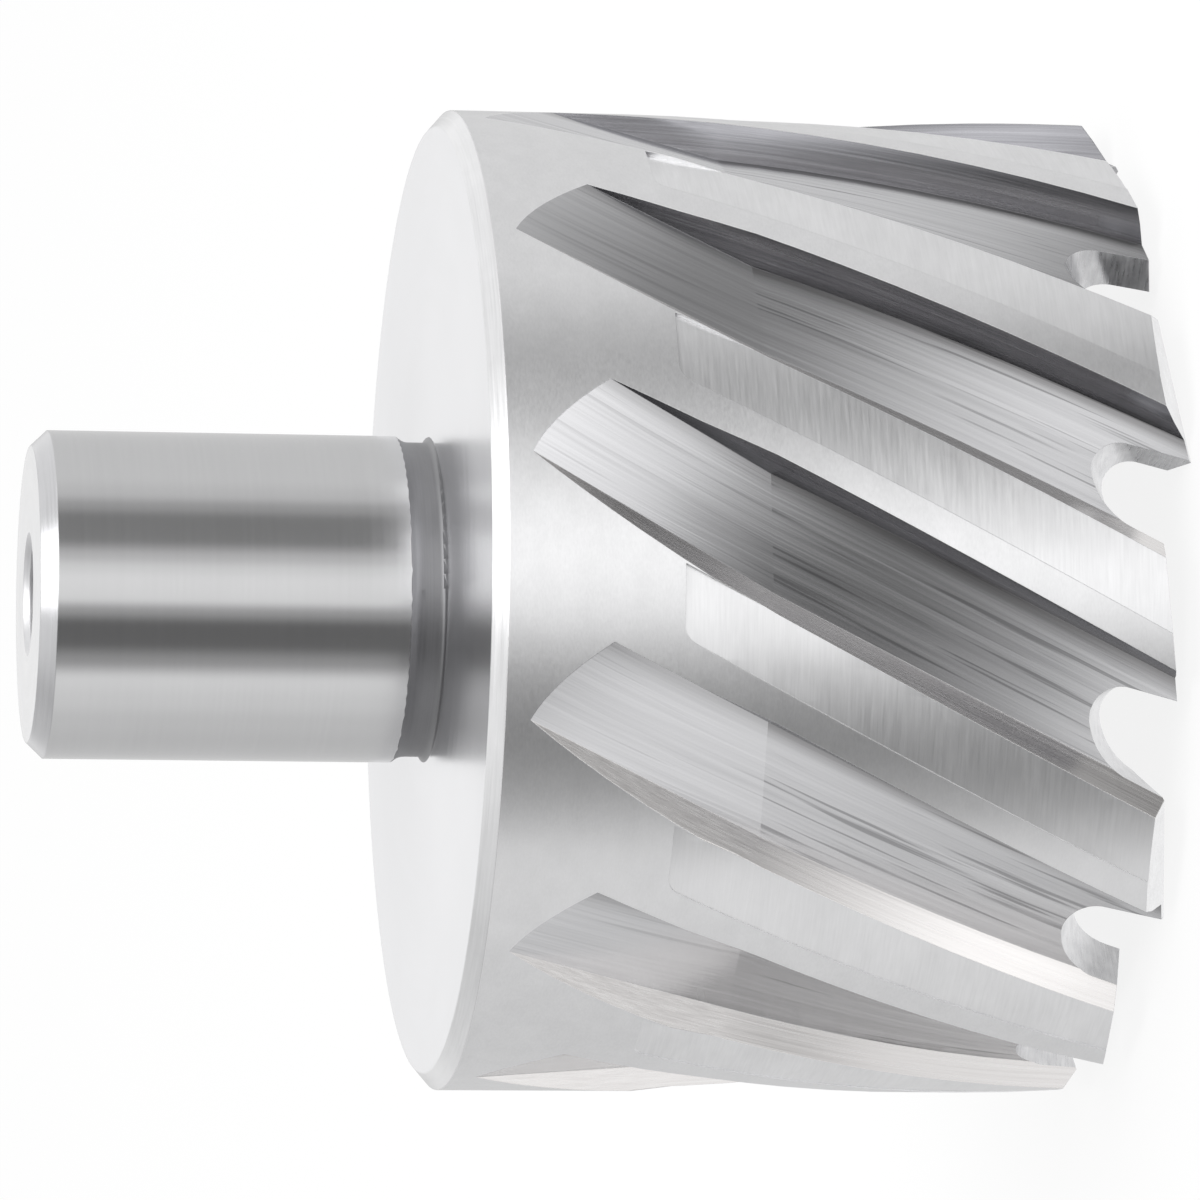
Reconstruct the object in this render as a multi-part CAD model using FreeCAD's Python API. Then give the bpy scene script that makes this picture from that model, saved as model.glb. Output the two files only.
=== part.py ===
import FreeCAD, Part
import math
import os

# Annular cutter, one piece of ground high-speed steel, in millimetres.
# It stands on its teeth: the axis is +Z, the shank points up, and z = 0 is at the tooth tips.
# Angles are in degrees, anticlockwise seen from the shank, from +X.

V = FreeCAD.Vector

# Overall sizes
cut_diameter = 57.15          # outside of the teeth, 2 1/4 in
overall_length = 63.05        # tooth tips to shank end

# Shank, neck and back of the head
shank_diameter = 19.05        # 3/4 in
shank_length = 23.22          # shank end to the back face
shank_chamfer_length = 0.95   # along the axis
shank_chamfer_height = 0.91   # across the axis
neck_depth = 0.35             # groove round the foot of the shank, up to the back face
neck_round_radius = 1.17      # where the groove rises to the shank
neck_edge_radius = 0.15       # the shank's edge above the groove
shoulder_clearance = 0.02     # the groove's root round ends this far outside the shank, so a collar seats flat
back_chamfer_length = 0.84    # along the axis
back_chamfer_height = 0.98    # across the axis

# Flats for the set screws of the holder
flat_depth = 0.65
flat_length = 11.0
flat_from_end = 5.0           # shank end to the near end of a flat
flat_angles = (63.0, 153.0)   # direction that each flat faces

# Pilot hole and cup
pilot_diameter = 6.5
pilot_chamfer = 0.35
bore_diameter = 48.4          # inside of the teeth
cup_depth = 28.6              # tooth tips to the cup's floor
cup_corner_radius = 1.5

# Flutes
tooth_count = 12
helix_lead = 342.9            # rise of one full turn of a flute
first_edge_angle = -98.3      # a cutting edge, at the level of the tips
flute_width = 9.15            # along the outside circle
flute_depth_lead = 2.08       # at the foot of the cutting edge's wall
flute_depth_heel = 1.63       # at the foot of the heel wall
crease_depth = 0.83           # where the leading wall steepens
upper_wall_draft = 20.0       # leading wall from the outside to the crease
lower_wall_draft = 6.5        # leading wall from the crease to the floor
heel_wall_draft = 39.0
exit_height = 24.0            # tooth tips to where the milling cutter left straight
exit_slant = 28.9             # sideways slant of the exit, from the axis
exit_rise = 6.0               # outward slant of the exit, from the axis

# Relief ground on each land, behind the margin
margin_width = 1.95           # full-diameter strip beside the cutting edge
relief_length = 29.2          # tooth tips to its start
relief_depth_margin = 0.07
relief_depth_heel = 0.24
relief_corner_radius = 1.2

# Gullets, cut through the wall between the teeth; measured at the floor of the flutes
gullet_depth = 5.82           # tooth tips to the root
gullet_rake_offset = 1.5      # from the cutting edge forward to the rake face
gullet_rake_angle = 15.0      # rake side, from the axis
gullet_root_radius = 1.72     # beside the rake side
gullet_blend_angle = 10.0     # past the deepest point, where the larger radius takes over
gullet_heel_radius = 4.5
gullet_heel_angle = 27.0      # heel side, from the axis
gullet_tilt = 24.7            # going in, the root slopes towards the tips
gullet_skew = 7.4             # going in, the gullet leans away from the rake side

# Tooth ends, ground in turn with a peaked and a flat form
peak_radius = 26.2            # where a peaked tooth is highest
peak_outer_bevel = 30.9
peak_inner_bevel = 23.0
flat_tooth_corner = 1.5       # tips to the outer corner of a flat tooth
flat_tooth_slope = 9.8
end_relief = 7.2              # each end face falls away behind its cutting edge
inner_end_relief = 9.5        # the same for the inner bevel of a peaked tooth

# Helping sizes
tool_margin = 2.5             # how far a cutting solid runs past the surface it cuts
section_step = 3.0            # height between sections of a twisted solid
same = 0.001                  # positions closer than this are one

cut_radius = cut_diameter / 2
shank_radius = shank_diameter / 2
bore_radius = bore_diameter / 2
floor_radius = cut_radius - flute_depth_lead
pitch_angle = 360.0 / tooth_count
back_face = overall_length - shank_length
neck_root_radius = neck_depth + shoulder_clearance
twist_rate = 360.0 / helix_lead
tool_radius = cut_radius + tool_margin


def tan(angle):
    return math.tan(math.radians(angle))


def arc_angle(length, radius):
    return math.degrees(length / radius)


def polar(radius, angle, z=0.0):
    a = math.radians(angle)
    return V(radius * math.cos(a), radius * math.sin(a), z)


def edge_angle(z):
    """Angle of the first cutting edge at height z."""
    return first_edge_angle + twist_rate * z


def extend(start, end, radius):
    """The point where the line from start through end meets a circle."""
    step = (end - start).normalize()
    b = start.dot(step)
    c = start.dot(start) - radius ** 2
    return start + step * (-b + math.sqrt(b * b - c))


def arc(start, middle, end):
    return Part.Arc(start, middle, end).toShape()


def line(start, end):
    return Part.LineSegment(start, end).toShape()


def turned_blank():
    """Shank, neck, head, pilot hole and cup, turned as one outline."""
    def rz(r, z):
        return V(r, 0, z)

    pilot = pilot_diameter / 2
    neck_radius = shank_radius - neck_depth
    neck_centre = rz(neck_radius + neck_round_radius, back_face + neck_round_radius)
    neck_side = shank_radius - neck_centre.x
    neck_top = neck_centre + rz(neck_side, math.sqrt(neck_round_radius ** 2 - neck_side ** 2))
    neck_low = neck_centre + rz(-neck_round_radius, 0)
    halfway = (neck_top + neck_low) * 0.5 - neck_centre
    neck_middle = neck_centre + halfway.normalize() * neck_round_radius
    neck_root = rz(neck_radius, back_face)
    upper = [rz(pilot, cup_depth + pilot_chamfer),
             rz(pilot, overall_length - pilot_chamfer),
             rz(pilot + pilot_chamfer, overall_length),
             rz(shank_radius - shank_chamfer_height, overall_length),
             rz(shank_radius, overall_length - shank_chamfer_length),
             neck_top]
    lower = [neck_low,
             neck_root,
             rz(cut_radius - back_chamfer_height, back_face),
             rz(cut_radius, back_face - back_chamfer_length),
             rz(cut_radius, 0),
             rz(bore_radius, 0),
             rz(bore_radius, cup_depth),
             rz(pilot + pilot_chamfer, cup_depth),
             upper[0]]
    outline = Part.Wire(Part.makePolygon(upper).Edges + [arc(neck_top, neck_middle, neck_low)]
                        + Part.makePolygon(lower).Edges)
    blank = Part.Face(outline).revolve(V(0, 0, 0), V(0, 0, 1), 360)
    blank = blank.makeFillet(neck_edge_radius, ring_edges(blank, neck_top))
    blank = blank.makeFillet(neck_root_radius, ring_edges(blank, neck_root))
    return blank.makeFillet(cup_corner_radius, ring_edges(blank, rz(bore_radius, cup_depth)))


def ring_edges(shape, point):
    """Edges that pass through a point of the turned outline and run around the axis."""
    return [e for e in shape.Edges if isinstance(e.Curve, Part.Circle)
            and abs(e.Curve.Radius - point.x) < same and abs(e.Curve.Center.z - point.z) < same]


def flute_points():
    """Corners of a flute across the axis, from a cutting edge at angle 0."""
    crease_radius = cut_radius - crease_depth
    foot_radius = cut_radius - flute_depth_heel
    crease_offset = crease_depth * tan(upper_wall_draft)
    lead_offset = crease_offset + (flute_depth_lead - crease_depth) * tan(lower_wall_draft)
    heel_angle = -arc_angle(flute_width, cut_radius)
    heel_offset = flute_depth_heel * tan(heel_wall_draft)
    edge = polar(cut_radius, 0)
    crease = polar(crease_radius, -arc_angle(crease_offset, crease_radius))
    lead_foot = polar(floor_radius, -arc_angle(lead_offset, floor_radius))
    heel_foot = polar(foot_radius, heel_angle + arc_angle(heel_offset, foot_radius))
    heel_edge = polar(cut_radius, heel_angle)
    return [extend(crease, edge, tool_radius), crease, lead_foot,
            heel_foot, extend(heel_foot, heel_edge, tool_radius)]


def placed_wire(points, angle, shift, z):
    """Closed outline, turned about the axis, then shifted, at height z."""
    a = math.radians(angle)
    out = []
    for p in points:
        x = p.x * math.cos(a) - p.y * math.sin(a)
        y = p.x * math.sin(a) + p.y * math.cos(a)
        out.append(V(x, y, z) + shift)
    return Part.makePolygon(out + [out[0]])


def heights(bottom, top):
    """Evenly spaced section heights, about one section step apart."""
    count = max(2, round((top - bottom) / section_step))
    return [bottom + (top - bottom) * i / count for i in range(count + 1)]


def flute_cutters():
    """The twisted part of a flute, and its straight exit along a tangent."""
    points = flute_points()
    none = V(0, 0, 0)
    twisted = Part.makeLoft([placed_wire(points, edge_angle(z), none, z)
                             for z in heights(-tool_margin, exit_height)], True)
    exit_angle = edge_angle(exit_height)
    middle = exit_angle - arc_angle(flute_width, cut_radius) / 2
    climb = back_face - exit_height
    shift = polar(climb * tan(exit_rise), middle) + polar(climb * tan(exit_slant), middle + 90)
    straight = Part.makeLoft([placed_wire(points, exit_angle, none, exit_height),
                              placed_wire(points, exit_angle, shift, back_face)], True, True)
    return [twisted, straight]


def relief_cutter():
    """A thin layer of the land, from the margin to the heel."""
    start = arc_angle(margin_width, cut_radius)
    end = pitch_angle - arc_angle(flute_width - relief_depth_heel, cut_radius)

    def section(z):
        def point(angle, depth):
            return polar(cut_radius - depth, edge_angle(z) + angle, z)

        middle = (start + end) / 2
        corners = [point(start, relief_depth_margin),
                   point(middle, (relief_depth_margin + relief_depth_heel) / 2),
                   point(end, relief_depth_heel), point(end, -tool_margin), point(start, -tool_margin)]
        return Part.Wire([arc(*corners[:3]), line(corners[2], corners[3]),
                          line(corners[3], corners[4]), line(corners[4], corners[0])])

    layer = Part.makeLoft([section(z) for z in heights(-tool_margin, relief_length)], True)
    corner = polar(cut_radius, edge_angle(relief_length) + start, relief_length)
    edge = min(layer.Edges, key=lambda e: e.distToShape(Part.Vertex(corner))[0])
    return layer.makeFillet(relief_corner_radius, [edge])


def gullet_cutter():
    """A notch with a rake side, a round root and a heel side, run through the wall."""
    rake_angle = math.radians(gullet_rake_angle)
    root_z = gullet_depth - gullet_root_radius
    root_y = (root_z * math.sin(rake_angle) - gullet_root_radius) / math.cos(rake_angle)
    depth_out = tool_radius - floor_radius
    side, lift = depth_out * tan(gullet_skew), depth_out * tan(gullet_tilt)

    def place(y, z):
        return V(tool_radius, y + side, z + lift)

    def on_arc(y, z, radius, angle):
        """Point of an arc, angle measured from its deepest point towards the heel side."""
        a = math.radians(angle)
        return y - radius * math.sin(a), z + radius * math.cos(a)

    blend = on_arc(root_y, root_z, gullet_root_radius, gullet_blend_angle)
    heel_y, heel_z = on_arc(*blend, -gullet_heel_radius, gullet_blend_angle)
    heel_turn = 90 - gullet_heel_angle
    rake = on_arc(root_y, root_z, gullet_root_radius, -90 - gullet_rake_angle)
    root = on_arc(root_y, root_z, gullet_root_radius, 0)
    turn = on_arc(heel_y, heel_z, gullet_heel_radius, (gullet_blend_angle + heel_turn) / 2)
    heel = on_arc(heel_y, heel_z, gullet_heel_radius, heel_turn)
    bottom = -2 * tool_margin
    rake_end = (rake[0] + (bottom - rake[1]) * tan(gullet_rake_angle), bottom)
    heel_end = (heel[0] + (bottom - heel[1]) * tan(gullet_heel_angle), bottom)
    outline = Part.Wire([line(place(*rake_end), place(*rake)),
                         arc(place(*rake), place(*root), place(*blend)),
                         arc(place(*blend), place(*turn), place(*heel)),
                         line(place(*heel), place(*heel_end)),
                         line(place(*heel_end), place(*rake_end))])
    inward = bore_radius - tool_margin - tool_radius
    notch = Part.Face(outline).extrude(V(inward, inward * tan(gullet_skew), inward * tan(gullet_tilt)))
    notch.rotate(V(0, 0, 0), V(0, 0, 1), edge_angle(0) - arc_angle(gullet_rake_offset, floor_radius))
    return notch


def end_cutter(point, radial_slope, relief):
    """Everything below a plane through a point, over one tooth whose outer corner is at angle 0."""
    start = -arc_angle(gullet_rake_offset + 2 * gullet_root_radius, floor_radius)
    end = start + pitch_angle
    inner_radius = bore_radius - tool_margin

    def on_plane(radius, angle):
        p = polar(radius, angle)
        p.z = point.z + (p.x - point.x) * radial_slope + (p.y - point.y) * tan(relief)
        return p

    corners = [on_plane(inner_radius, start), on_plane(tool_radius, start),
               on_plane(tool_radius, end), on_plane(inner_radius, end)]
    block = Part.Face(Part.makePolygon(corners + [corners[0]])).extrude(V(0, 0, -cut_radius))
    block.rotate(V(0, 0, 0), V(0, 0, 1), edge_angle(flat_tooth_corner))
    return block


def tooth_end_cutters():
    """End faces of a flat tooth and of a peaked tooth."""
    corner = polar(cut_radius, 0, flat_tooth_corner)
    rake = -arc_angle(gullet_rake_offset, floor_radius) - twist_rate * flat_tooth_corner
    peak = polar(peak_radius, rake)
    flat = [end_cutter(corner, tan(flat_tooth_slope), end_relief)]
    peaked = [end_cutter(peak, tan(peak_outer_bevel), end_relief),
              end_cutter(peak, -tan(peak_inner_bevel), inner_end_relief)]
    return flat, peaked


def shank_flat(angle):
    """Block that leaves a flat on the shank, facing the given angle."""
    bottom = overall_length - flat_from_end - flat_length
    block = Part.makeBox(shank_radius, shank_diameter, flat_length,
                         V(shank_radius - flat_depth, -shank_radius, bottom))
    block.rotate(V(0, 0, 0), V(0, 0, 1), angle)
    return block


def around(shape, index):
    turned = shape.copy()
    turned.rotate(V(0, 0, 0), V(0, 0, 1), index * pitch_angle)
    return turned


def annular_cutter():
    body = turned_blank()
    flutes = flute_cutters()
    relief = relief_cutter()
    gullet = gullet_cutter()
    for cutter in flutes + [relief, gullet]:
        body = body.cut([around(cutter, i) for i in range(tooth_count)])
    flat, peaked = tooth_end_cutters()
    for i in range(0, tooth_count, 2):
        body = body.cut([around(cutter, i) for cutter in flat])
        body = body.cut([around(cutter, i + 1) for cutter in peaked])
    return body.cut([shank_flat(angle) for angle in flat_angles])


os.makedirs("parts", exist_ok=True)
cutter = annular_cutter()
print("solids", len(cutter.Solids), "valid", cutter.isValid(), "volume", round(cutter.Volume, 1))
print("box", cutter.optimalBoundingBox())
cutter.Solids[0].exportStep("parts/annular_cutter.step")
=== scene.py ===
import math

import bmesh
import bpy
from mathutils import Matrix, Vector


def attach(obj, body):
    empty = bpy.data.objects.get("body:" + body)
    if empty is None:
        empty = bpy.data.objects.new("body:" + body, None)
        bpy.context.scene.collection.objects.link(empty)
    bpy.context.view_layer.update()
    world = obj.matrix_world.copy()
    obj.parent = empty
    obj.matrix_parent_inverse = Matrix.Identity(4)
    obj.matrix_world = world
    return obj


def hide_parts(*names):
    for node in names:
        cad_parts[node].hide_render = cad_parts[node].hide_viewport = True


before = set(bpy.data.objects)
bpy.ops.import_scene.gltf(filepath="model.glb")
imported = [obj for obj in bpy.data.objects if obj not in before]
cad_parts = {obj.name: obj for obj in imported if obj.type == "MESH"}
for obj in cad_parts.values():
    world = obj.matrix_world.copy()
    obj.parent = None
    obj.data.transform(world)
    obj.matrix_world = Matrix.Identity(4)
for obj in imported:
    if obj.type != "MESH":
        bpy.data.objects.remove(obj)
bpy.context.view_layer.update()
print("frame loaded")

mm = 0.001

# the cutter's own sizes, in mm and degrees, as in the CAD: they sort its faces and steer the grinding marks
cutter = {
    "cutRadius": 28.575,
    "boreRadius": 24.2,
    "floorRadius": 26.6,        # just above the flute floors
    "backFace": 39.83,
    "backChamfer": 0.84,
    "shankRadius": 9.525,
    "shankChamfer": 0.95,
    "neckTop": 2.2,             # above the back face, past the groove of the neck
    "height": 63.05,
    "pilotReach": 3.6,
    "helixLead": 342.9,
    "firstEdge": -98.3,
    "pitch": 30.0,
    "marginAngle": 3.9,         # full-diameter strip beside the cutting edge
    "landAngle": 11.66,         # cutting edge to heel
    "reliefTop": 29.3,
    "reliefDepths": (0.07, 0.24),    # behind the margin, and at the heel
    "toothEndTop": 3.6,
    "gulletTop": 7.5,
    "exitStart": 24.0,          # tooth tips to where the milling cutter began to leave
    "exitLength": 12.0,
    "exitLean": (0.5, 8.0),     # it left on a curve, so the exit steepens from the first angle to the second
    "brushLean": 16.0,          # fine steps of the milling make a flute floor mirror as if leaned to the heel
    "floorHollow": 0.3,         # share of the round of the head that shows across a floor
}

# how its faces are told apart: plays in mm, angles in degrees, and leans as the cosine to a direction
sorting = {
    "weld": 0.002,              # corners nearer than this are one
    "sliver": 0.0001,           # shorter edges go
    "creaseAngle": 24.0,        # a sharper edge parts two ground faces
    "play": 0.1,
    "square": 0.99,             # looks straight along the axis
    "mostly": 0.9,              # looks mostly one way
    "shankPlay": 0.02,
    "shankLean": 0.999,
    "chamferLean": 0.2,
    "borePlay": 0.03,
    "landPlay": 0.004,
    "landLean": 0.995,
    "toothLean": 0.7,
    "reliefDrop": 0.4,
    "reliefStep": 0.26,         # height of the little wall where the relief starts
    "reliefLean": 0.998,
    "edgePlay": 0.3,
    "heelPlay": 0.6,
    "edgeStrip": 3.6,           # the leading wall lies this near before the cutting edge
    "wallSideways": 0.3,        # least lean of a flute's walls next to the gullets
    "wallOutward": 0.4,
}


def srgb(hexColour):
    channels = [int(hexColour[i:i + 2], 16) / 255 for i in (1, 3, 5)]
    return tuple(c / 12.92 if c <= 0.04045 else ((c + 0.055) / 1.055) ** 2.4 for c in channels) + (1.0,)


def addNode(tree, kind, settings=None, links=None):
    node = tree.nodes.new(kind)
    for name, value in (settings or {}).items():
        setattr(node, name, value)
    for socket, value in (links or {}).items():
        if isinstance(value, bpy.types.NodeSocket):
            tree.links.new(value, node.inputs[socket])
        else:
            node.inputs[socket].default_value = value
    return node


# ---- sorting the cutter's faces by how each was ground

def mergedCopy(node):
    mesh = node.data.copy()
    shape = bmesh.new()
    shape.from_mesh(mesh)
    bmesh.ops.remove_doubles(shape, verts=shape.verts, dist=sorting["weld"] * mm)
    bmesh.ops.dissolve_degenerate(shape, edges=shape.edges, dist=sorting["sliver"] * mm)
    shape.to_mesh(mesh)
    shape.free()
    return mesh


def pastEdge(x, y, z):
    # degrees round from the last cutting edge, at this height
    return (math.degrees(math.atan2(y, x)) - cutter["firstEdge"] - 360 * z / cutter["helixLead"]) % cutter["pitch"]


def lieOf(face):
    # where a face lies, in mm and degrees, and how far it looks outward, round and up
    centre = face.calc_center_median() / mm
    radial = Vector((centre.x, centre.y, 0)).normalized()
    reaches = [math.hypot(v.co.x, v.co.y) / mm for v in face.verts]
    return {
        "height": centre.z,
        "lowest": min(v.co.z for v in face.verts) / mm,
        "radius": math.hypot(centre.x, centre.y),
        "nearest": min(reaches),
        "furthest": max(reaches),
        "past": pastEdge(centre.x, centre.y, centre.z),
        "outward": face.normal.dot(radial),
        "sideways": face.normal.dot(Vector((-radial.y, radial.x, 0))),
        "upward": face.normal.z,
    }


def shankFinish(lie):
    above = lie["height"] - cutter["backFace"]
    if lie["radius"] < cutter["pilotReach"] and abs(lie["upward"]) < sorting["mostly"]:
        return "pilot"
    if lie["upward"] > sorting["square"]:
        return "back" if above < sorting["play"] else "shankEnd"
    if lie["height"] > cutter["height"] - cutter["shankChamfer"]:
        return "shankChamfer"
    if lie["outward"] > sorting["shankLean"] and lie["radius"] > cutter["shankRadius"] - sorting["shankPlay"]:
        return "shank"
    return "neck" if above < cutter["neckTop"] else "flat"


def headFinish(lie):
    past, outward, sideways = lie["past"], lie["outward"], lie["sideways"]
    if lie["height"] > cutter["backFace"] - cutter["backChamfer"] and lie["upward"] > sorting["chamferLean"]:
        return "backChamfer"
    if lie["furthest"] < cutter["boreRadius"] + sorting["borePlay"]:
        return "cup"
    if lie["nearest"] > cutter["cutRadius"] - sorting["landPlay"] and outward > sorting["landLean"]:
        return "land"
    if lie["height"] < cutter["toothEndTop"] and lie["upward"] < -sorting["toothLean"]:
        return "toothEnd"
    onLand = past < cutter["landAngle"] + sorting["heelPlay"] or past > cutter["pitch"] - sorting["edgePlay"]
    shallow = lie["nearest"] > cutter["cutRadius"] - sorting["reliefDrop"]
    if onLand and shallow and lie["height"] < cutter["reliefTop"] and abs(lie["upward"]) < sorting["square"]:
        if outward > sorting["mostly"] or lie["furthest"] - lie["nearest"] < sorting["reliefStep"]:
            return "relief"
    if outward > sorting["mostly"]:
        return "fluteExit" if lie["lowest"] > cutter["exitStart"] - sorting["play"] else "fluteFloor"
    if lie["height"] < cutter["gulletTop"]:
        nearEdge = past > cutter["pitch"] - sorting["edgeStrip"] or past < sorting["edgePlay"]
        onHeelWall = sideways > sorting["wallSideways"] and outward > sorting["wallOutward"]
        onLeadingWall = sideways < -sorting["wallSideways"] and nearEdge
        if lie["radius"] < cutter["floorRadius"] or not (onHeelWall or onLeadingWall):
            return "gullet"
    return "heelWall" if sideways > 0 else "leadingWall"


def finishOf(face):
    lie = lieOf(face)
    if lie["height"] > cutter["backFace"] - sorting["shankPlay"]:
        return shankFinish(lie)
    return "pilot" if lie["radius"] < cutter["pilotReach"] else headFinish(lie)


# ---- what each ground surface mirrors

def reliefNormal(radial):
    # the relief falls away from the margin to the heel, so its surface leans that way
    drop = cutter["reliefDepths"][1] - cutter["reliefDepths"][0]
    run = math.radians(cutter["landAngle"] - cutter["marginAngle"]) * cutter["cutRadius"]
    around = Vector((-radial.y, radial.x, 0))
    helix = 2 * math.pi * cutter["cutRadius"] / cutter["helixLead"]
    return (radial + (around - Vector((0, 0, helix))) * drop / run).normalized()


def floorNormal(own, point):
    # a brushed flute floor mirrors nearly one direction from side to side, leaned to the heel,
    # and its exit leans along too, where the milling cutter left on its curve
    x, y, z = point / mm
    middle = (cutter["landAngle"] + cutter["pitch"]) / 2
    offset = (middle - pastEdge(x, y, z)) * (1 - cutter["floorHollow"])
    angle = math.atan2(y, x) + math.radians(offset - cutter["brushLean"])
    low, high = cutter["exitLean"]
    share = min(max((z - cutter["exitStart"]) / cutter["exitLength"], 0), 1)
    rise = math.tan(math.radians(low + (high - low) * share ** 2)) if own == "fluteExit" else 0
    return Vector((math.cos(angle), math.sin(angle), -rise)).normalized()


def cornerNormal(loop, own, finishes):
    point = loop.vert.co
    radial = Vector((point.x, point.y, 0)).normalized()
    if own in ("land", "shank"):
        return radial
    if own == "relief" and loop.face.normal.dot(radial) > sorting["reliefLean"]:
        return reliefNormal(radial)
    if own in ("fluteFloor", "fluteExit"):
        return floorNormal(own, point)
    limit = math.cos(math.radians(sorting["creaseAngle"]))
    normal = Vector()
    for other in loop.vert.link_faces:
        if finishes[other.index] == own and other.normal.dot(loop.face.normal) > limit:
            corner = next(l for l in other.loops if l.vert == loop.vert)
            normal += other.normal * corner.calc_angle()
    return normal.normalized() if normal.length else loop.face.normal.copy()


def dressedCutter():
    mesh = mergedCopy(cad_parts["annular_cutter"])
    mesh.materials.clear()
    shape = bmesh.new()
    shape.from_mesh(mesh)
    shape.faces.ensure_lookup_table()
    shape.normal_update()
    finishes = [finishOf(face) for face in shape.faces]
    order = list(finishLooks)
    normals = []
    for face, own in zip(shape.faces, finishes):
        face.material_index = order.index(own)
        face.smooth = True
        normals += [cornerNormal(loop, own, finishes) for loop in face.loops]
    shape.to_mesh(mesh)
    shape.free()
    mesh.normals_split_custom_set(normals)
    for look in finishLooks.values():
        mesh.materials.append(groundSteel(look))
    print("faces by finish", {name: finishes.count(name) for name in order})
    piece = bpy.data.objects.new("annularCutterDressed", mesh)
    bpy.context.scene.collection.objects.link(piece)
    return piece


# ---- finishes of ground high-speed steel
# marks: which way the wheel ran
# markSize and toneSize: one mark and one cloud of tone, in mm
#   around: along x, y and z; rings: outward, then along x and y; helix: around, outward and along the axis
# roughness: of the clearest and the dullest mark
# bump: depth of the marks in mm, and its strength; spread: how far light is drawn out across the marks
# score, and the painted shade with heat tint at the foot of the leading wall: how dark; edge: radius in mm that a
# sharp edge mirrors with

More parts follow.
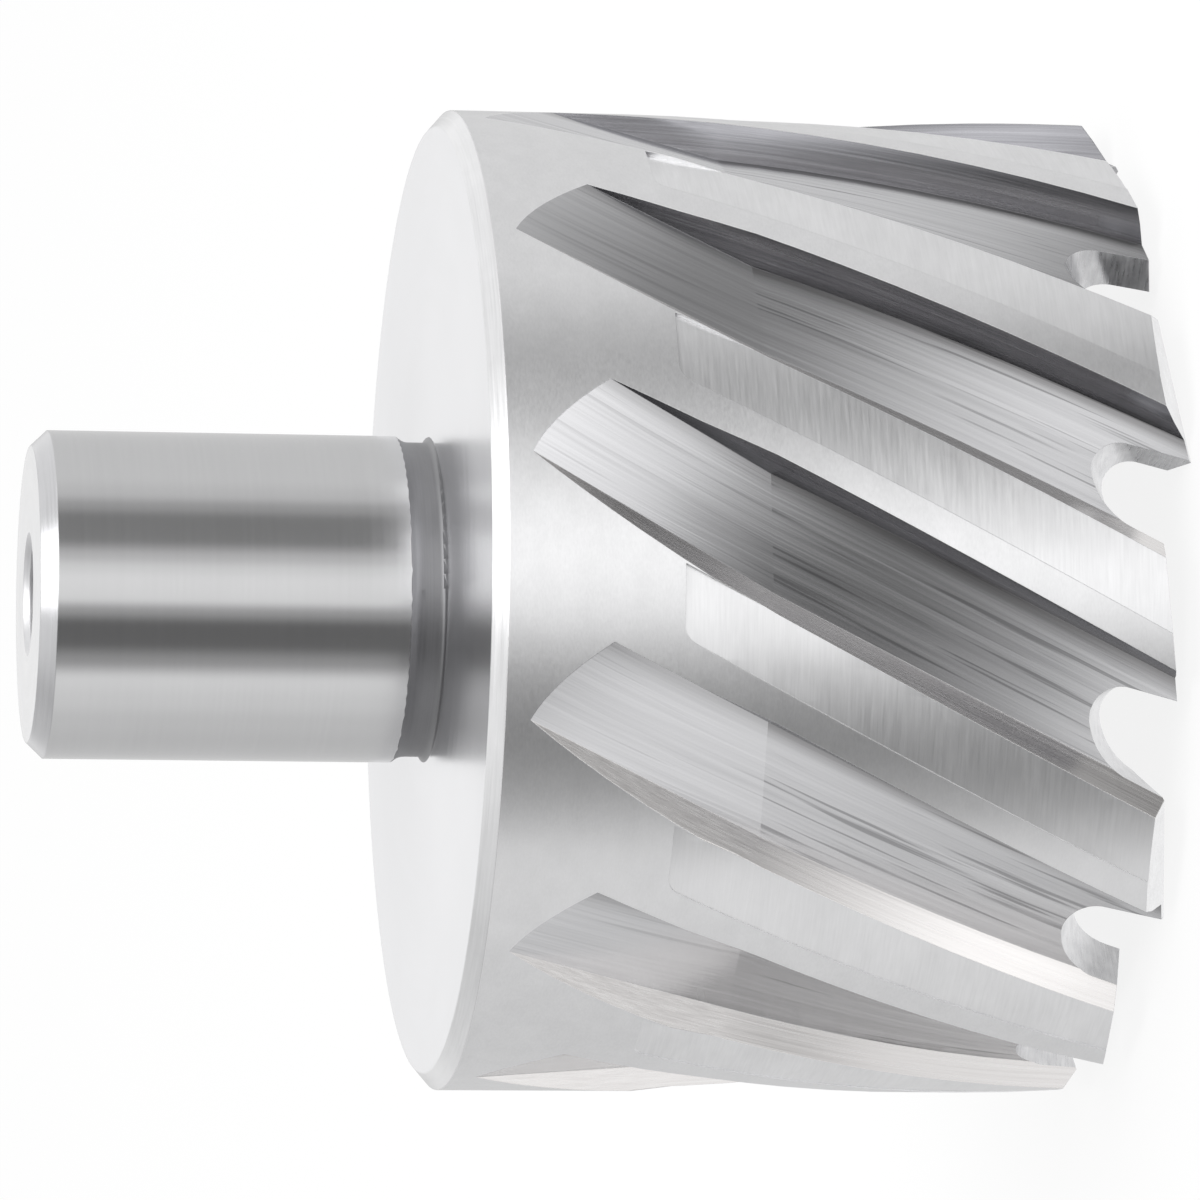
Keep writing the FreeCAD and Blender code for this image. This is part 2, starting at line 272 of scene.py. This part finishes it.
finishLooks = {
    # cylindrically ground, then polished: clear bands of light along the axis
    "shank": {"name": "highSpeedSteelPolishedShank", "marks": "around", "markSize": (14, 14, 0.2),
              "toneSize": (9, 9, 4), "dark": "#d5d5d6", "light": "#d9d9da", "roughness": (0.14, 0.16),
              "bump": (0.0006, 0.08), "spread": 0.4, "edge": 0.08},
    # set-screw flats, surface ground: straight fine lines
    "flat": {"name": "highSpeedSteelGroundFlat", "marks": "around", "markSize": (9, 9, 0.16),
             "toneSize": (5, 5, 5), "dark": "#bcbcbe", "light": "#d2d2d3", "roughness": (0.2, 0.28),
             "bump": (0.004, 0.25), "spread": 0.5, "edge": 0.08},
    # turned and polished chamfer: a clean pale ring
    "shankChamfer": {"name": "highSpeedSteelPolishedChamfer", "marks": "around", "markSize": (8, 8, 0.12),
                     "toneSize": (6, 6, 2), "dark": "#c8c8ca", "light": "#d6d6d8", "roughness": (0.16, 0.22),
                     "bump": (0.002, 0.2), "spread": 0.0, "edge": 0.14},
    # faced and lapped end: nearly even, pale
    "shankEnd": {"name": "highSpeedSteelFacedEnd", "marks": "rings", "markSize": (0.2, 9, 9),
                 "toneSize": (4, 4, 4), "dark": "#e2e2e3", "light": "#ededee", "roughness": (0.16, 0.24),
                 "bump": (0.002, 0.15), "spread": 0.0, "edge": 0.12},
    # form-turned neck, left unpolished: a dull, even ring, painted dark for the shade in its groove
    "neck": {"name": "highSpeedSteelTurnedNeckPaintedShade", "marks": "around", "markSize": (8, 8, 0.1),
             "toneSize": (5, 5, 2), "dark": "#88888a", "light": "#98989a", "roughness": (0.4, 0.48),
             "bump": (0.002, 0.2), "spread": 0.0, "edge": 0.03},
    # lapped back face: soft mirror with the faintest rings
    "back": {"name": "highSpeedSteelLappedBack", "marks": "rings", "markSize": (0.35, 14, 14),
             "toneSize": (9, 9, 9), "dark": "#e2e2e4", "light": "#e9e9eb", "roughness": (0.2, 0.26),
             "bump": (0.001, 0.1), "spread": 0.0, "edge": 0.1},
    # ground chamfer round the back: catches the light as a white rim
    "backChamfer": {"name": "highSpeedSteelGroundChamfer", "marks": "around", "markSize": (6, 6, 0.1),
                    "toneSize": (5, 5, 2), "dark": "#e0e0e1", "light": "#f2f2f3", "roughness": (0.16, 0.24),
                    "bump": (0.002, 0.2), "spread": 0.0, "edge": 0.16},
    # cylindrically ground outside: even satin of very short grit marks
    "land": {"name": "highSpeedSteelGroundLand", "marks": "around", "markSize": (0.3, 0.3, 0.12),
             "toneSize": (2.4, 2.4, 1.6), "dark": "#e4e4e5", "light": "#f0f0f1", "roughness": (0.32, 0.38),
             "bump": (0.004, 0.3), "spread": 0.8, "edge": 0.05},
    # form-relieved behind the margin: soft chatter strokes around the axis, a sixth of a millimetre wide
    "relief": {"name": "highSpeedSteelReliefGround", "marks": "around", "markSize": (2.6, 2.6, 0.16),
               "toneSize": (5, 5, 3), "dark": "#e6e6e7", "light": "#f6f6f7", "roughness": (0.31, 0.38),
               "bump": (0.006, 0.3), "spread": 0.75, "edge": 0.05},
    # flutes milled along the helix: long brush lines, drawn as coarse as they need to show in the render
    "fluteFloor": {"name": "highSpeedSteelFluteMilled", "marks": "helix", "markSize": (0.22, 6, 16),
                   "toneSize": (0.8, 6, 40), "dark": "#c8c8ca", "light": "#e8e8ea", "roughness": (0.17, 0.25),
                   "bump": (0.006, 0.3), "spread": 0.6, "score": 0.45, "paintedFootShade": 0.6, "edge": 0.05},
    # where the milling cutter left each flute: the same lines, painted paler as a lit copy of the floor's steel
    "fluteExit": {"name": "highSpeedSteelFluteExitPaintedLight", "marks": "helix", "markSize": (0.22, 6, 16),
                  "toneSize": (0.8, 6, 40), "dark": "#d2d2d4", "light": "#ebebed", "roughness": (0.14, 0.21),
                  "bump": (0.006, 0.3), "spread": 0.6, "score": 0.15, "paintedFootShade": 0.3, "edge": 0.05},
    # leading wall below the cutting edge: painted dark for the shade it stands in, with clear lines along the edge
    "leadingWall": {"name": "highSpeedSteelLeadingWallPaintedShade", "marks": "helix", "markSize": (0.12, 0.12, 12),
                    "toneSize": (0.3, 0.3, 30), "dark": "#77777b", "light": "#a0a0a4", "roughness": (0.2, 0.28),
                    "bump": (0.004, 0.3), "spread": 0.5, "score": 0.2, "edge": 0.05},
    # heel wall: bright, finely lined, a touch warm
    "heelWall": {"name": "highSpeedSteelHeelWall", "marks": "helix", "markSize": (0.12, 0.12, 12),
                 "toneSize": (0.3, 0.3, 20), "dark": "#e8e5e4", "light": "#faf8f7", "roughness": (0.2, 0.3),
                 "bump": (0.004, 0.3), "spread": 0.5, "edge": 0.08},
    # gullets ground across with a narrow wheel: short streaks
    "gullet": {"name": "highSpeedSteelGulletGround", "marks": "around", "markSize": (2, 2, 0.16),
               "toneSize": (1, 1, 0.7), "dark": "#c4c4c6", "light": "#eaeaeb", "roughness": (0.24, 0.36),
               "bump": (0.01, 0.35), "spread": 0.3, "edge": 0.05},
    # sharpened tooth ends: the freshest grinding, straight fine lines
    "toothEnd": {"name": "highSpeedSteelSharpenedEnd", "marks": "around", "markSize": (0.16, 1.1, 0.16),
                 "toneSize": (1.5, 1.5, 1.5), "dark": "#d2d2d3", "light": "#ebebec", "roughness": (0.18, 0.28),
                 "bump": (0.006, 0.3), "spread": 0.3, "edge": 0.05},
    # turned cup: even feed rings
    "cup": {"name": "highSpeedSteelTurnedCup", "marks": "around", "markSize": (14, 14, 0.2),
            "toneSize": (6, 6, 2), "dark": "#b2b2b4", "light": "#d0d0d2", "roughness": (0.26, 0.4),
            "bump": (0.012, 0.4), "spread": 0.4, "edge": 0.05},
    # drilled pilot hole: coarser rings, duller
    "pilot": {"name": "highSpeedSteelDrilledPilot", "marks": "around", "markSize": (6, 6, 0.25),
              "toneSize": (3, 3, 2), "dark": "#cfcfd1", "light": "#ececed", "roughness": (0.3, 0.42),
              "bump": (0.012, 0.4), "spread": 0.0, "edge": 0.1},
}

# noise behind the marks: its detail, how strong the finer part is, and the span of it that counts
grain = {"detail": 3.0, "fine": 0.6, "span": (0.3, 0.7)}
scores = {"detail": 1.0, "fine": 0.5, "span": (0.62, 0.72), "size": (0.3, 6, 11), "colour": "#3c3c3f"}
foot = {"span": (0.9, 3.6), "colour": "#454140"}    # painted shade with heat tint at the foot of the leading wall: degrees before the cutting edge, darkest to gone
edgeSamples = 4


def markLines(tree, marks):
    # what the marks are drawn along, the direction across them, and for a helix the angle from the edges
    place = addNode(tree, "ShaderNodeTexCoord").outputs["Object"]
    if marks == "around":
        return place, addNode(tree, "ShaderNodeCombineXYZ", None, {"Z": 1.0}).outputs[0], None
    split = addNode(tree, "ShaderNodeSeparateXYZ", None, {0: place})
    flat = addNode(tree, "ShaderNodeVectorMath", {"operation": "MULTIPLY"}, {0: place, 1: (1, 1, 0)}).outputs[0]
    radius = addNode(tree, "ShaderNodeVectorMath", {"operation": "LENGTH"}, {0: flat}).outputs["Value"]
    if marks == "rings":
        along = addNode(tree, "ShaderNodeCombineXYZ", None,
                        {"X": radius, "Y": split.outputs["X"], "Z": split.outputs["Y"]}).outputs[0]
        return along, flat, None
    # each height is turned back along the helix, so that the marks follow the flutes
    height = split.outputs["Z"]
    twist = 2 * math.pi / (cutter["helixLead"] * mm)
    turn = addNode(tree, "ShaderNodeMath", {"operation": "MULTIPLY"}, {0: height, 1: -twist}).outputs[0]
    turned = addNode(tree, "ShaderNodeVectorRotate", {"rotation_type": "Z_AXIS"},
                     {"Vector": place, "Angle": turn}).outputs[0]
    sides = addNode(tree, "ShaderNodeSeparateXYZ", None, {0: turned})
    angle = addNode(tree, "ShaderNodeMath", {"operation": "ARCTAN2"},
                    {0: sides.outputs["Y"], 1: sides.outputs["X"]}).outputs[0]
    length = addNode(tree, "ShaderNodeMath", {"operation": "MULTIPLY"},
                     {0: angle, 1: cutter["cutRadius"] * mm}).outputs[0]
    along = addNode(tree, "ShaderNodeCombineXYZ", None, {"X": length, "Y": radius, "Z": height}).outputs[0]
    swing = addNode(tree, "ShaderNodeVectorMath", {"operation": "CROSS_PRODUCT"},
                    {0: (0, 0, twist), 1: place}).outputs[0]
    forward = addNode(tree, "ShaderNodeVectorMath", {"operation": "ADD"}, {0: swing, 1: (0, 0, 1)}).outputs[0]
    across = addNode(tree, "ShaderNodeVectorMath", {"operation": "CROSS_PRODUCT"}, {0: forward, 1: flat}).outputs[0]
    return along, across, angle


def streaks(tree, along, size, pattern, most=1.0):
    stretched = addNode(tree, "ShaderNodeVectorMath", {"operation": "MULTIPLY"},
                        {0: along, 1: tuple(1 / (s * mm) for s in size)}).outputs[0]
    noise = addNode(tree, "ShaderNodeTexNoise", None,
                    {"Vector": stretched, "Scale": 1.0, "Detail": pattern["detail"],
                     "Roughness": pattern["fine"]}).outputs["Fac"]
    low, high = pattern["span"]
    return addNode(tree, "ShaderNodeMapRange", None,
                   {"Value": noise, "From Min": low, "From Max": high, "To Max": most}).outputs[0]


def paintedShadeAtFoot(tree, angle, darkest):
    # heat tint and painted shade in the crease along the foot of the leading wall
    turned = addNode(tree, "ShaderNodeMath", {"operation": "SUBTRACT"},
                     {0: angle, 1: math.radians(cutter["firstEdge"] - 360)}).outputs[0]
    past = addNode(tree, "ShaderNodeMath", {"operation": "MODULO"},
                   {0: turned, 1: math.radians(cutter["pitch"])}).outputs[0]
    gap = addNode(tree, "ShaderNodeMath", {"operation": "SUBTRACT"},
                  {0: math.radians(cutter["pitch"]), 1: past}).outputs[0]
    low, high = foot["span"]
    return addNode(tree, "ShaderNodeMapRange", {"interpolation_type": "SMOOTHSTEP"},
                   {"Value": gap, "From Min": math.radians(low), "From Max": math.radians(high),
                    "To Min": darkest, "To Max": 0.0}).outputs[0]


def groundSteel(look):
    material = bpy.data.materials.new(look["name"])
    material.use_nodes = True
    tree = material.node_tree
    tree.nodes.clear()
    along, across, angle = markLines(tree, look["marks"])
    marks = streaks(tree, along, look["markSize"], grain)
    tone = streaks(tree, along, look["toneSize"], grain)
    both = addNode(tree, "ShaderNodeMath", {"operation": "ADD"}, {0: marks, 1: tone}).outputs[0]
    shade = addNode(tree, "ShaderNodeMath", {"operation": "MULTIPLY"}, {0: both, 1: 0.5}).outputs[0]
    colour = addNode(tree, "ShaderNodeMix", {"data_type": "RGBA"},
                     {0: shade, 6: srgb(look["dark"]), 7: srgb(look["light"])}).outputs[2]
    if "score" in look:    # a few deeper scores, long and dark
        score = streaks(tree, along, scores["size"], scores, look["score"])
        colour = addNode(tree, "ShaderNodeMix", {"data_type": "RGBA"},
                         {0: score, 6: colour, 7: srgb(scores["colour"])}).outputs[2]
    # darker towards the leading wall: painted shade in its crease, with a heat tint
    if "paintedFootShade" in look:
        near = paintedShadeAtFoot(tree, angle, look["paintedFootShade"])
        colour = addNode(tree, "ShaderNodeMix", {"data_type": "RGBA"},
                         {0: near, 6: colour, 7: srgb(foot["colour"])}).outputs[2]
    low, high = look["roughness"]
    gloss = addNode(tree, "ShaderNodeMapRange", None, {"Value": marks, "To Min": low, "To Max": high}).outputs[0]
    edge = addNode(tree, "ShaderNodeBevel", {"samples": edgeSamples}, {"Radius": look["edge"] * mm}).outputs[0]
    depth, strength = look["bump"]
    surface = addNode(tree, "ShaderNodeBump", None,
                      {"Height": marks, "Distance": depth * mm, "Strength": strength, "Normal": edge}).outputs[0]
    shader = addNode(tree, "ShaderNodeBsdfPrincipled", None,
                     {"Base Color": colour, "Metallic": 1.0, "Roughness": gloss, "Anisotropic": look["spread"],
                      "Normal": surface, "Tangent": across}).outputs[0]
    addNode(tree, "ShaderNodeOutputMaterial", None, {"Surface": shader})
    return material


piece = dressedCutter()
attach(piece, "root")
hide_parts("annular_cutter")
print("cutter dressed")


# ---- studio

paper = {
    "colour": "#ffffff",
    "glow": 0.86,                     # share of the white that no shadow takes away
    "radius": 1.6,
    "wall": 1.4,
    "bend": 0.5,
    "rings": (0.05, 0.2, 0.5, 1.0),   # shares of the radius
    "bendSteps": 8,
    "turns": 96,
}


def mattePaper():
    material = bpy.data.materials.new("mattePaper")
    material.use_nodes = True
    tree = material.node_tree
    tree.nodes.clear()
    rays = addNode(tree, "ShaderNodeLightPath")
    direct = addNode(tree, "ShaderNodeMath", {"operation": "ADD"},
                     {0: rays.outputs["Is Camera Ray"], 1: rays.outputs["Is Glossy Ray"]}).outputs[0]
    seen = addNode(tree, "ShaderNodeMath", {"operation": "ADD", "use_clamp": True},
                   {0: direct, 1: rays.outputs["Is Transmission Ray"]}).outputs[0]
    glow = addNode(tree, "ShaderNodeMath", {"operation": "MULTIPLY"}, {0: seen, 1: paper["glow"]}).outputs[0]
    matte = addNode(tree, "ShaderNodeBsdfDiffuse", None, {"Color": srgb(paper["colour"])}).outputs[0]
    light = addNode(tree, "ShaderNodeEmission", None, {"Color": (1, 1, 1, 1), "Strength": 1.0}).outputs[0]
    mixed = addNode(tree, "ShaderNodeMixShader", None, {0: glow, 1: matte, 2: light}).outputs[0]
    addNode(tree, "ShaderNodeOutputMaterial", None, {"Surface": mixed})
    return material


def paleSweep():
    # one sheet of pale paper: floor, bend and wall all round
    radius, bend, steps, turns = paper["radius"], paper["bend"], paper["bendSteps"], paper["turns"]
    rows = [(radius * share, 0.0) for share in paper["rings"]]
    for step in range(1, steps + 1):
        angle = math.radians(90 * step / steps)
        rows.append((radius + bend * math.sin(angle), bend * (1 - math.cos(angle))))
    rows.append((radius + bend, bend + paper["wall"]))
    points = [(0, 0, 0)] + [(r * math.cos(2 * math.pi * k / turns), r * math.sin(2 * math.pi * k / turns), z)
                            for r, z in rows for k in range(turns)]
    faces = [(0, 1 + k, 1 + (k + 1) % turns) for k in range(turns)]
    for row in range(len(rows) - 1):
        low, high = 1 + row * turns, 1 + (row + 1) * turns
        faces += [(low + k, high + k, high + (k + 1) % turns, low + (k + 1) % turns) for k in range(turns)]
    mesh = bpy.data.meshes.new("paleSweep")
    mesh.from_pydata(points, [], faces)
    for polygon in mesh.polygons:
        polygon.use_smooth = True
    mesh.materials.append(mattePaper())
    sweep = bpy.data.objects.new("paleSweep", mesh)
    bpy.context.scene.collection.objects.link(sweep)
    sweep.visible_diffuse = False    # light reaches the cutter from the tent all round
    sweep.visible_glossy = False
    sweep.visible_shadow = False


# light tent with dark cards round the axis: strength by degrees from the front towards the camera's top
tent = {
    "level": {-180: 0.70, -123: 0.65, -98: 0.70, -78: 0.80, -61: 0.88, -46: 0.38, -33: 0.16, -20: 0.15, -10: 0.42,
              -2: 0.92, 12: 0.95, 20: 0.84, 27: 0.62, 40: 0.24, 56: 0.24, 66: 0.42, 76: 0.66, 92: 0.74, 149: 0.72,
              180: 0.70},
    "above": {-180: 1.08, -140: 0.70, -102: 0.55, -70: 0.60, -56: 0.45, -43: 0.12, -20: 0.15, -7: 0.60, 5: 1.30,
              16: 1.45, 41: 1.70, 53: 1.10, 67: 0.90, 82: 1.40, 98: 0.95, 147: 0.98, 180: 1.08},
    "below": {-180: 1.10, -123: 1.00, -85: 0.85, -70: 0.80, -56: 0.85, -43: 0.42, -31: 0.44, -19: 1.00, 5: 1.30,
              16: 1.40, 28: 0.90, 41: 0.60, 53: 0.17, 67: 0.13, 82: 0.40, 98: 0.60, 147: 0.95, 180: 1.10},
    "zenith": 0.88,
    "nadir": 0.9,
    "strongest": 2.0,
    # elevation in degrees over which each part takes over from the one under it, from the nadir up
    "spans": {"below": (-75.93, -48.59), "level": (-33, -15), "above": (-2, 15), "zenith": (45, 75)},
}


def cardsRound(tree, turn, cards):
    # the strengths round the axis, eased from one to the next
    ramp = addNode(tree, "ShaderNodeValToRGB", None, {"Fac": turn})
    ramp.color_ramp.interpolation = "EASE"
    stops = sorted(cards.items())
    while len(ramp.color_ramp.elements) < len(stops):
        ramp.color_ramp.elements.new(0.5)
    for element, (degrees, strength) in zip(ramp.color_ramp.elements, stops):
        element.position = degrees / 360 + 0.5
        element.color = (strength / tent["strongest"],) * 3 + (1,)
    return addNode(tree, "ShaderNodeMath", {"operation": "MULTIPLY"},
                   {0: ramp.outputs["Color"], 1: tent["strongest"]}).outputs[0]


def lightTent():
    world = bpy.data.worlds.new("lightTent")
    bpy.context.scene.world = world
    world.use_nodes = True
    tree = world.node_tree
    tree.nodes.clear()
    ray = addNode(tree, "ShaderNodeTexCoord").outputs["Generated"]
    axes = addNode(tree, "ShaderNodeSeparateXYZ", None, {0: ray})
    front = addNode(tree, "ShaderNodeMath", {"operation": "MULTIPLY"}, {0: axes.outputs["Y"], 1: -1.0}).outputs[0]
    angle = addNode(tree, "ShaderNodeMath", {"operation": "ARCTAN2"}, {0: axes.outputs["X"], 1: front}).outputs[0]
    turn = addNode(tree, "ShaderNodeMath", {"operation": "MULTIPLY_ADD"},
                   {0: angle, 1: 0.5 / math.pi, 2: 0.5}).outputs[0]
    light = tent["nadir"]
    for name, (low, high) in tent["spans"].items():
        upper = tent["zenith"] if name == "zenith" else cardsRound(tree, turn, tent[name])
        share = addNode(tree, "ShaderNodeMapRange", {"interpolation_type": "SMOOTHSTEP"},
                        {"Value": axes.outputs["Z"], "From Min": math.sin(math.radians(low)),
                         "From Max": math.sin(math.radians(high))}).outputs[0]
        light = addNode(tree, "ShaderNodeMix", {"data_type": "FLOAT"}, {0: share, 2: light, 3: upper}).outputs[0]
    shine = addNode(tree, "ShaderNodeBackground", None, {"Color": (1, 1, 1, 1), "Strength": light}).outputs[0]
    addNode(tree, "ShaderNodeOutputWorld", None, {"Surface": shine})


lamp = {
    "watts": 3.0,
    "width": 0.9,
    "place": (0.25, -0.35, 0.9),
    "aim": (0, 0, 0.03),        # the middle of the cutter
}


def softLamp():
    data = bpy.data.lights.new("softLamp", "AREA")
    data.shape = "DISK"
    data.size = lamp["width"]
    data.energy = lamp["watts"]
    holder = bpy.data.objects.new("softLamp", data)
    holder.location = lamp["place"]
    holder.rotation_euler = (Vector(lamp["aim"]) - holder.location).to_track_quat("-Z", "Y").to_euler()
    bpy.context.scene.collection.objects.link(holder)


# fitted to the photograph: a long lens, turned on its side
viewpoint = {
    "lens": 232.26,
    "sensor": 36,
    "nearest": 0.01,
    "furthest": 20,
    "place": (0.000134, -0.44825, 0.09976),
    "right": (0.01431, -0.15482, -0.98784),
    "up": (0.99990, 0.00222, 0.01414),
}


def photoCamera():
    data = bpy.data.cameras.new("photoCamera")
    data.lens = viewpoint["lens"]
    data.sensor_width = viewpoint["sensor"]
    data.clip_start = viewpoint["nearest"]
    data.clip_end = viewpoint["furthest"]
    right, up = Vector(viewpoint["right"]), Vector(viewpoint["up"])
    turned = Matrix((right, up, right.cross(up))).transposed().to_4x4()
    camera = bpy.data.objects.new("photoCamera", data)
    camera.matrix_world = Matrix.Translation(viewpoint["place"]) @ turned
    bpy.context.scene.collection.objects.link(camera)
    bpy.context.scene.camera = camera


paleSweep()
lightTent()
softLamp()
photoCamera()
bpy.context.scene.view_settings.view_transform = "Standard"
print("studio set")
